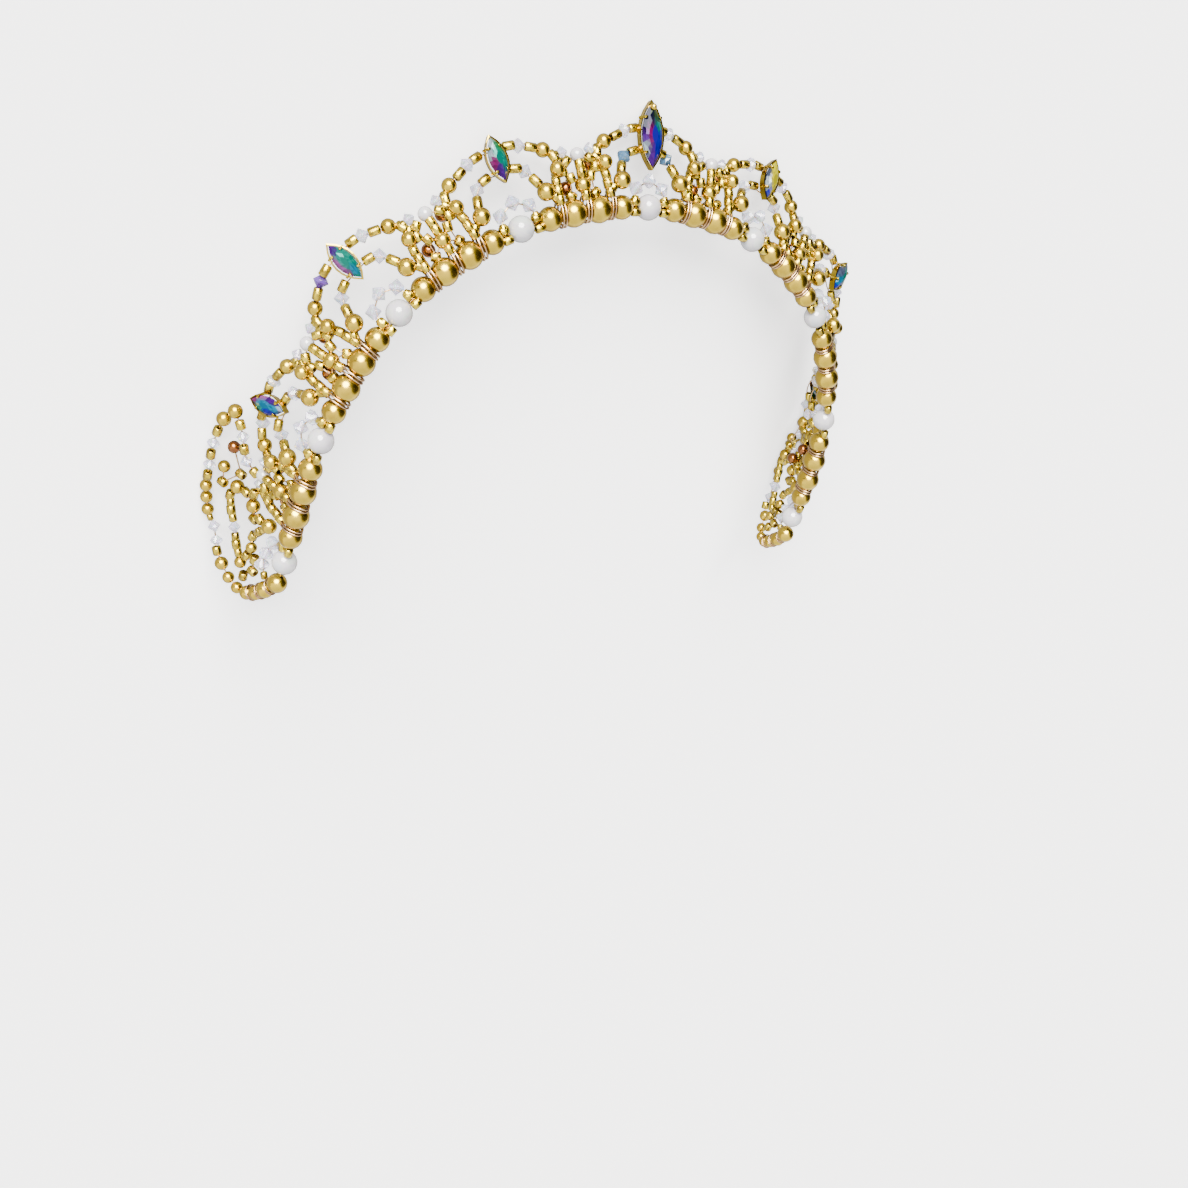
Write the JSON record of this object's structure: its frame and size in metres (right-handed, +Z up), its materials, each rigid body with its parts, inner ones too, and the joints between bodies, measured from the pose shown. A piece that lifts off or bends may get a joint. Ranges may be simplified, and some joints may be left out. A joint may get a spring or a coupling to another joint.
{
  "type": "ballet tiara",
  "caption": "Hand-beaded ballet tiara: an open horseshoe of gold and white pearls with arches of crystals and seed beads around pointed rainbow stones.",
  "frame": {"origin": "centre of the bounding box on the floor, with the tiara lying on the tips of its arches", "axes": "+Z up, +Y from the open side towards the middle arch, +X towards the right end seen from above"},
  "size_m": [0.1946, 0.1358, 0.0293],
  "materials": {
    "gold_beads": "satin gold-coated glass pearls and seed beads on gilt wire",
    "white_pearl": "glossy white pearl coating",
    "clear_crystal": "clear cut glass with a faint rainbow coating",
    "navette_stone": "rainbow-coated cut glass in a gilt setting"
  },
  "bodies": {
    "root": {"white_pearl_1": "white_pearl", "crystal_trio_1": "clear_crystal", "white_pearl_2": "white_pearl", "crystal_trio_2": "clear_crystal", "white_pearl_3": "white_pearl", "crystal_trio_3": "clear_crystal", "white_pearl_4": "white_pearl", "crystal_trio_4": "clear_crystal", "white_pearl_5": "white_pearl", "crystal_trio_5": "clear_crystal", "white_pearl_6": "white_pearl", "crystal_trio_6": "clear_crystal", "white_pearl_7": "white_pearl", "crystal_trio_7": "clear_crystal", "white_pearl_8": "white_pearl", "crystal_trio_8": "clear_crystal", "white_pearl_9": "white_pearl", "crystal_trio_9": "clear_crystal", "navette_2": "navette_stone", "arch_2": "gold_beads", "navette_3": "navette_stone", "arch_3": "gold_beads", "navette_4": "navette_stone", "arch_4": "gold_beads", "navette_5": "navette_stone", "arch_5": "gold_beads", "navette_6": "navette_stone", "arch_6": "gold_beads", "navette_7": "navette_stone", "arch_7": "gold_beads", "navette_8": "navette_stone", "arch_8": "gold_beads", "gold_run_1": "gold_beads", "net_1": "gold_beads", "gold_run_2": "gold_beads", "net_2": "gold_beads", "gold_run_3": "gold_beads", "net_3": "gold_beads", "gold_run_4": "gold_beads", "net_4": "gold_beads", "gold_run_5": "gold_beads", "net_5": "gold_beads", "gold_run_6": "gold_beads", "net_6": "gold_beads", "gold_run_7": "gold_beads", "net_7": "gold_beads", "gold_run_8": "gold_beads", "net_8": "gold_beads", "end_loop_left": "gold_beads", "end_arch_left": "gold_beads", "end_loop_right": "gold_beads", "end_arch_right": "gold_beads"}
  },
  "joints": []
}
